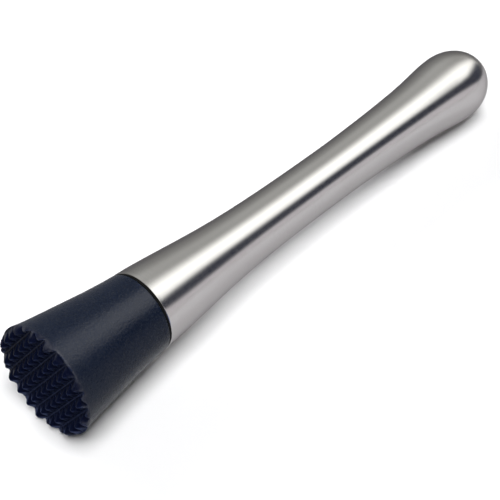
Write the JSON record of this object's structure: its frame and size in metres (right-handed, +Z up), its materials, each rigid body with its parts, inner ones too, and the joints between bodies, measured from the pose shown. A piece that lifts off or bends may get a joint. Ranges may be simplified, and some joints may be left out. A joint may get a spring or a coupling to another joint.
{
  "type": "muddler",
  "caption": "Bar muddler: hollow satin steel handle with a narrow waist and a rounded bulb butt, and a dark flared screw-on head with a square grid of pyramid teeth on its round working face",
  "frame": {"origin": "bottom centre of the bounding box, on the surface that the muddler lies on", "axes": "+X runs from the toothed head to the butt along the muddler's length, +Z is up, the muddler lies on its side with the rim of the head and the bulb touching z = 0"},
  "size_m": [0.2004, 0.0358, 0.0357],
  "materials": {
    "nylon": "fine moulded texture, very dark navy",
    "brass": "turned and knurled",
    "rubber": "matte",
    "satin_steel": "fine satin brushing around the axis",
    "plug_plastic": "moulded",
    "fastener_steel": "machined"
  },
  "bodies": {
    "handle": {"handle_shell": "satin_steel", "mouth_plug": "plug_plastic", "stud": "fastener_steel", "jam_nut": "fastener_steel", "washer": "fastener_steel"},
    "seal": {"seal_ring": "rubber"},
    "head": {"head": "nylon", "threaded_insert": "brass"}
  },
  "joints": [
    {"name": "head_travel", "type": "slide", "parent": "handle", "child": "seal", "axis": [-0.9995, 0, 0.0317], "range_m": [0, 0.0175]},
    {"name": "head_unscrew", "type": "hinge", "parent": "seal", "child": "head", "pos_m": [-0.09969, 0, 0.01792], "axis": [-0.9995, 0, 0.0317], "range_deg": [0, 5040]}
  ],
  "couplings": [
    {"joint": "head_travel", "follows": "head_unscrew", "m_per_rad": 0.00019894}
  ]
}
